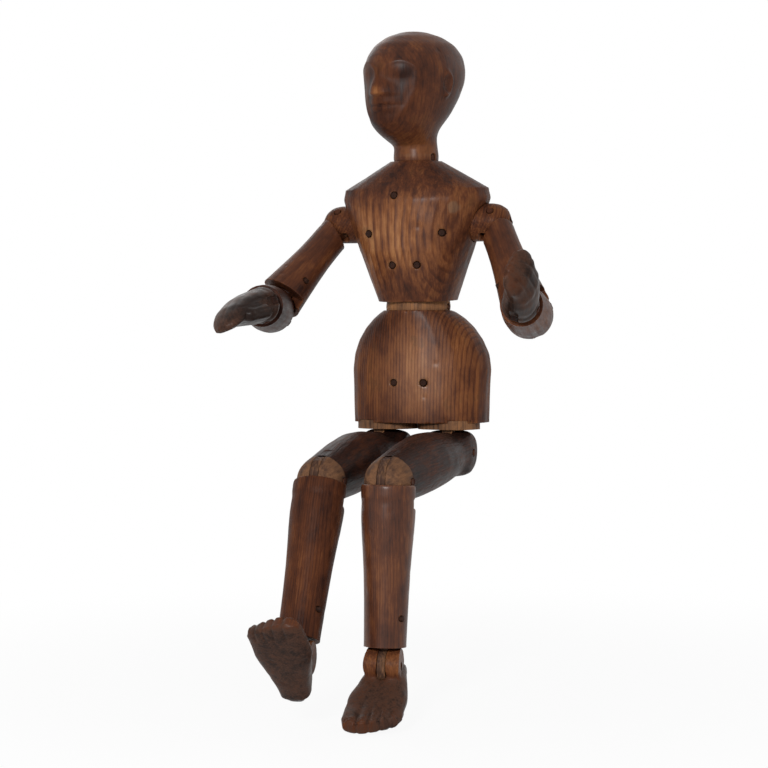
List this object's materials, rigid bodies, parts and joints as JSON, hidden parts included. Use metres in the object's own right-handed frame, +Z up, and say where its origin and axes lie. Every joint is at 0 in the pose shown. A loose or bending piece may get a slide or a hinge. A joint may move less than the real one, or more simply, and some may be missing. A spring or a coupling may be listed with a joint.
{
  "type": "artist mannequin",
  "caption": "Seated wooden lay figure for drawing: turned and carved limbs on pinned hinges and pegged turning dowels, bald head, dark hands and feet.",
  "frame": {"origin": "middle of the flat underside of the pelvis", "axes": "+Z up along the trunk, -Y the way the chest faces, +X to the left side of the figure"},
  "size_m": [0.2444, 0.28, 0.4931],
  "materials": {
    "stained_pine": "dark stain, waxed, raised grain",
    "bare_pine": "bare, rubbed",
    "dark_carved": "near-black stain, worn smooth",
    "peg_wood": "end grain, stained"
  },
  "bodies": {
    "pelvis": {"pelvis": "stained_pine", "waist_tongue": "bare_pine", "hip_peg_left": "peg_wood", "hip_peg_right": "peg_wood"},
    "waist": {"waist_ball": "bare_pine", "waist_pin": "peg_wood"},
    "chest": {"chest": "stained_pine", "waist_peg_left": "peg_wood", "waist_peg_right": "peg_wood", "neck_peg": "peg_wood", "shoulder_peg_left": "peg_wood", "shoulder_peg_right": "peg_wood"},
    "neck": {"neck_spigot": "bare_pine"},
    "head": {"head": "stained_pine", "neck_pin": "peg_wood"},
    "shoulder_left": {"shoulder_drum_left": "bare_pine", "shoulder_pin_left": "peg_wood"},
    "upper_arm_left": {"upper_arm_left": "stained_pine", "elbow_peg_left": "peg_wood"},
    "elbow_left": {"elbow_spigot_left": "bare_pine"},
    "forearm_left": {"forearm_left": "stained_pine", "elbow_pin_left": "peg_wood", "wrist_peg_left": "peg_wood"},
    "wrist_left": {"wrist_spigot_left": "bare_pine"},
    "hand_left": {"hand_left": "dark_carved", "wrist_pin_left": "peg_wood"},
    "hip_left": {"hip_spigot_left": "bare_pine"},
    "thigh_left": {"thigh_left": "stained_pine", "hip_pin_left": "peg_wood", "knee_pin_left": "peg_wood"},
    "shin_left": {"shin_left": "stained_pine", "knee_tongue_left": "bare_pine", "ankle_peg_left": "peg_wood"},
    "ankle_left": {"ankle_spigot_left": "bare_pine"},
    "foot_left": {"foot_left": "dark_carved", "ankle_pin_left": "peg_wood"},
    "shoulder_right": {"shoulder_drum_right": "bare_pine", "shoulder_pin_right": "peg_wood"},
    "upper_arm_right": {"upper_arm_right": "stained_pine", "elbow_peg_right": "peg_wood"},
    "elbow_right": {"elbow_spigot_right": "bare_pine"},
    "forearm_right": {"forearm_right": "stained_pine", "elbow_pin_right": "peg_wood", "wrist_peg_right": "peg_wood"},
    "wrist_right": {"wrist_spigot_right": "bare_pine"},
    "hand_right": {"hand_right": "dark_carved", "wrist_pin_right": "peg_wood"},
    "hip_right": {"hip_spigot_right": "bare_pine"},
    "thigh_right": {"thigh_right": "stained_pine", "hip_pin_right": "peg_wood", "knee_pin_right": "peg_wood"},
    "shin_right": {"shin_right": "stained_pine", "knee_tongue_right": "bare_pine", "ankle_peg_right": "peg_wood"},
    "ankle_right": {"ankle_spigot_right": "bare_pine"},
    "foot_right": {"foot_right": "dark_carved", "ankle_pin_right": "peg_wood"}
  },
  "joints": [
    {"name": "waist_bend", "type": "hinge", "parent": "pelvis", "child": "waist", "pos_m": [0, -0.009, 0.087], "axis": [1, 0, 0], "range_deg": [-17, 11]},
    {"name": "waist_turn", "type": "hinge", "parent": "waist", "child": "chest", "pos_m": [0, -0.00445, 0.00012], "axis": [0, -0.0523, 0.9986], "range_deg": [-45, 45]},
    {"name": "neck_turn", "type": "hinge", "parent": "chest", "child": "neck", "pos_m": [0, -0.01483, 0.19835], "axis": [0, -0.0523, 0.9986], "range_deg": [-54, 96]},
    {"name": "head_nod", "type": "hinge", "parent": "neck", "child": "head", "pos_m": [0, -0.01483, 0.19835], "axis": [0.9336, -0.3579, -0.0188], "range_deg": [-16, 16]},
    {"name": "shoulder_swing_left", "type": "hinge", "parent": "chest", "child": "shoulder_left", "pos_m": [0.06, -0.01227, 0.14931], "axis": [-1, 0, 0], "range_deg": [-89, 91]},
    {"name": "arm_spread_left", "type": "hinge", "parent": "shoulder_left", "child": "upper_arm_left", "pos_m": [0.06, -0.01227, 0.14931], "axis": [0, -0.809, 0.5878], "range_deg": [-25.5, 54.5]},
    {"name": "elbow_turn_left", "type": "hinge", "parent": "upper_arm_left", "child": "elbow_left", "pos_m": [0.1009, -0.06267, 0.07995], "axis": [0.4305, -0.5305, -0.7302], "range_deg": [-48.5, 41.5]},
    {"name": "elbow_bend_left", "type": "hinge", "parent": "elbow_left", "child": "forearm_left", "pos_m": [0.1009, -0.06267, 0.07995], "axis": [-0.9009, -0.2032, -0.3835], "range_deg": [-58, 16]},
    {"name": "wrist_turn_left", "type": "hinge", "parent": "forearm_left", "child": "wrist_left", "pos_m": [0.11505, -0.13903, 0.08716], "axis": [0.1814, -0.979, 0.0926], "range_deg": [-47, 133]},
    {"name": "wrist_bend_left", "type": "hinge", "parent": "wrist_left", "child": "hand_left", "pos_m": [0.11505, -0.13903, 0.08716], "axis": [0.9278, 0.1392, -0.3462], "range_deg": [-34, 76]},
    {"name": "hip_turn_left", "type": "hinge", "parent": "pelvis", "child": "hip_left", "pos_m": [0.027, -0.008, -0.0226], "axis": [0, 0, 1], "range_deg": [-1.5, 41.5]},
    {"name": "hip_swing_left", "type": "hinge", "parent": "hip_left", "child": "thigh_left", "pos_m": [0.027, -0.008, -0.0226], "axis": [-0.9997, 0.0262, 0], "range_deg": [-119.8, 3.2]},
    {"name": "knee_bend_left", "type": "hinge", "parent": "thigh_left", "child": "shin_left", "pos_m": [0.0234, -0.14538, -0.03511], "axis": [0.9997, -0.0262, 0], "range_deg": [-80.8, 14.2]},
    {"name": "ankle_turn_left", "type": "hinge", "parent": "shin_left", "child": "ankle_left", "pos_m": [0.02317, -0.1542, -0.1612], "axis": [-0.0018, -0.0697, -0.9976], "range_deg": [-23, 27]},
    {"name": "ankle_bend_left", "type": "hinge", "parent": "ankle_left", "child": "foot_left", "pos_m": [0.02317, -0.1542, -0.1612], "axis": [0.9954, 0.0955, -0.0085], "range_deg": [-60, 25]},
    {"name": "shoulder_swing_right", "type": "hinge", "parent": "chest", "child": "shoulder_right", "pos_m": [-0.06, -0.01227, 0.14931], "axis": [-1, 0, 0], "range_deg": [-96, 84]},
    {"name": "arm_spread_right", "type": "hinge", "parent": "shoulder_right", "child": "upper_arm_right", "pos_m": [-0.06, -0.01227, 0.14931], "axis": [0, 0.7314, -0.682], "range_deg": [-21, 59]},
    {"name": "elbow_turn_right", "type": "hinge", "parent": "upper_arm_right", "child": "elbow_right", "pos_m": [-0.09405, -0.07275, 0.08445], "axis": [0.3584, 0.6367, 0.6828], "range_deg": [-80, 10]},
    {"name": "elbow_bend_right", "type": "hinge", "parent": "elbow_right", "child": "forearm_right", "pos_m": [-0.09405, -0.07275, 0.08445], "axis": [-0.7647, -0.2193, 0.6059], "range_deg": [-61, 13]},
    {"name": "wrist_turn_right", "type": "hinge", "parent": "forearm_right", "child": "wrist_right", "pos_m": [-0.07107, -0.14726, 0.08649], "axis": [-0.2946, 0.9553, -0.0261], "range_deg": [-123, 57]},
    {"name": "wrist_bend_right", "type": "hinge", "parent": "wrist_right", "child": "hand_right", "pos_m": [-0.07107, -0.14726, 0.08649], "axis": [0.3293, 0.0758, -0.9412], "range_deg": [-83, 27]},
    {"name": "hip_turn_right", "type": "hinge", "parent": "pelvis", "child": "hip_right", "pos_m": [-0.027, -0.008, -0.0226], "axis": [0, 0, -1], "range_deg": [-2.8, 40.2]},
    {"name": "hip_swing_right", "type": "hinge", "parent": "hip_right", "child": "thigh_right", "pos_m": [-0.027, -0.008, -0.0226], "axis": [-1, -0.0035, 0], "range_deg": [-119.4, 3.6]},
    {"name": "knee_bend_right", "type": "hinge", "parent": "thigh_right", "child": "shin_right", "pos_m": [-0.02652, -0.14534, -0.03607], "axis": [1, 0.0035, 0], "range_deg": [-61.4, 33.6]},
    {"name": "ankle_turn_right", "type": "hinge", "parent": "shin_right", "child": "ankle_right", "pos_m": [-0.02635, -0.19473, -0.15242], "axis": [-0.0014, 0.3907, 0.9205], "range_deg": [-31, 19]},
    {"name": "ankle_bend_right", "type": "hinge", "parent": "ankle_right", "child": "foot_right", "pos_m": [-0.02635, -0.19473, -0.15242], "axis": [0.9998, 0.0196, -0.0068], "range_deg": [-8, 77]}
  ]
}
